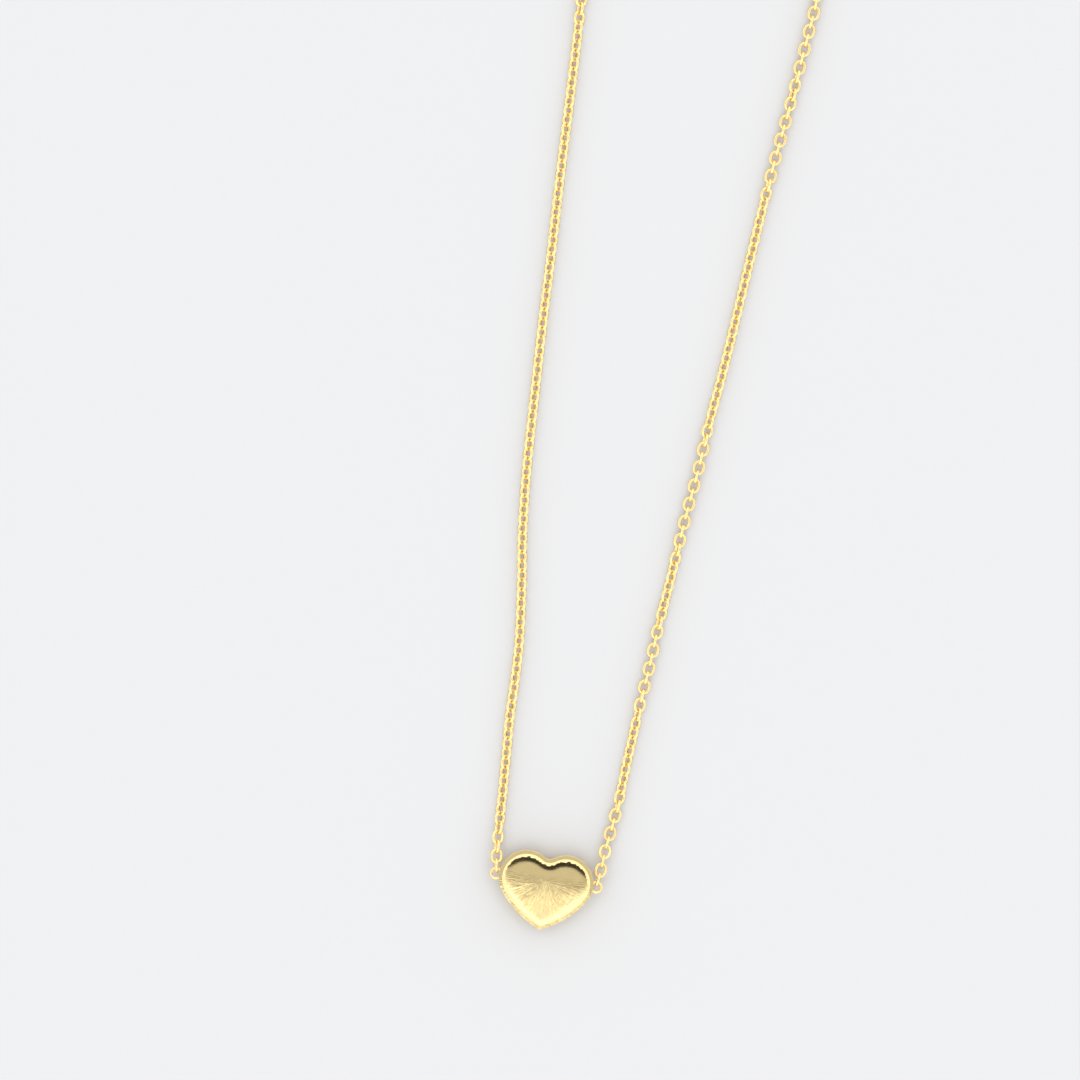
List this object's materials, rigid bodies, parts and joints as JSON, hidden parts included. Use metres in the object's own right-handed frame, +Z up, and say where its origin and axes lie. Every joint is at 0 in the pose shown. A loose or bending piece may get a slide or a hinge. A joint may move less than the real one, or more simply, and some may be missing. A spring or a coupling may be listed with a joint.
{
  "type": "pendant necklace",
  "caption": "Fine oval-link cable chain necklace with a small polished puffed heart held between two side loops, spring ring clasp.",
  "frame": {"origin": "on the table under the middle of the heart and its two side loops, in its flat back's plane", "axes": "+X to the right across the heart, +Y from the heart's tip to its lobes and on along the chain, +Z up, out of the polished front"},
  "size_m": [0.0302, 0.111, 0.0024],
  "materials": {
    "heart_polish": "mirror polished, gold plated",
    "link_wire": "bright gold plated wire",
    "clasp_gold": "polished, gold plated",
    "spring_steel": "plain drawn spring wire"
  },
  "bodies": {
    "heart": {"heart_front_shell": "heart_polish", "heart_back_shell": "heart_polish", "heart_left_loop": "link_wire", "heart_right_loop": "link_wire"},
    "left_lower": {"left_lower_chain": "link_wire", "left_middle_link": "link_wire"},
    "left_upper": {"left_upper_chain": "link_wire", "left_bend_link": "link_wire"},
    "left_end": {"left_outer_turns": "link_wire", "left_inner_turns": "link_wire", "catch_ring": "clasp_gold"},
    "right_lower": {"right_lower_chain": "link_wire", "right_middle_link": "link_wire"},
    "right_upper": {"right_upper_chain": "link_wire", "right_bend_link": "link_wire"},
    "right_end": {"right_outer_turns": "link_wire", "right_inner_turns": "link_wire", "clasp_jump_ring": "clasp_gold"},
    "clasp": {"clasp_eyelet": "clasp_gold", "clasp_tube": "clasp_gold", "clasp_spring": "spring_steel"},
    "bolt": {"clasp_bolt": "clasp_gold"}
  },
  "joints": [
    {"name": "left_heart_hang", "type": "hinge", "parent": "heart", "child": "left_lower", "pos_m": [-0.0042, 0.00135, 0.0012], "axis": [1, 0, 0], "range_deg": [-75, 75]},
    {"name": "right_heart_hang", "type": "hinge", "parent": "heart", "child": "right_lower", "pos_m": [0.0042, 0.00135, 0.0012], "axis": [1, 0, 0], "range_deg": [-75, 75]},
    {"name": "left_middle_fold", "type": "hinge", "parent": "left_lower", "child": "left_upper", "pos_m": [-0.0067, 0.045, 0.00042], "axis": [1, 0, 0], "range_deg": [-30, 30]},
    {"name": "right_middle_fold", "type": "hinge", "parent": "right_lower", "child": "right_upper", "pos_m": [0.0087, 0.045, 0.00042], "axis": [1, 0, 0], "range_deg": [-30, 30]},
    {"name": "left_upper_fold", "type": "hinge", "parent": "left_upper", "child": "left_end", "pos_m": [-0.00755, 0.076, 0.00054], "axis": [1, 0, 0], "range_deg": [-90, 90]},
    {"name": "right_upper_fold", "type": "hinge", "parent": "right_upper", "child": "right_end", "pos_m": [0.01205, 0.076, 0.00054], "axis": [1, 0, 0], "range_deg": [-90, 90]},
    {"name": "clasp_lift", "type": "hinge", "parent": "right_end", "child": "clasp", "pos_m": [-0.00194, 0.09729, 0.0011], "axis": [-0.0541, 0.9985, 0], "range_deg": [0, 30]},
    {"name": "bolt_slide", "type": "hinge", "parent": "clasp", "child": "bolt", "pos_m": [-0.004, 0.0948, 0.0011], "axis": [0, 0, 1], "range_deg": [0, 44], "stiffness_Nm_per_rad": 0.002, "deforming": ["clasp_spring"]}
  ],
  "couplings": [
    {"joint": "right_heart_hang", "follows": "left_heart_hang", "ratio": 1},
    {"joint": "right_middle_fold", "follows": "left_middle_fold", "ratio": 1},
    {"joint": "right_upper_fold", "follows": "left_upper_fold", "ratio": 1}
  ]
}
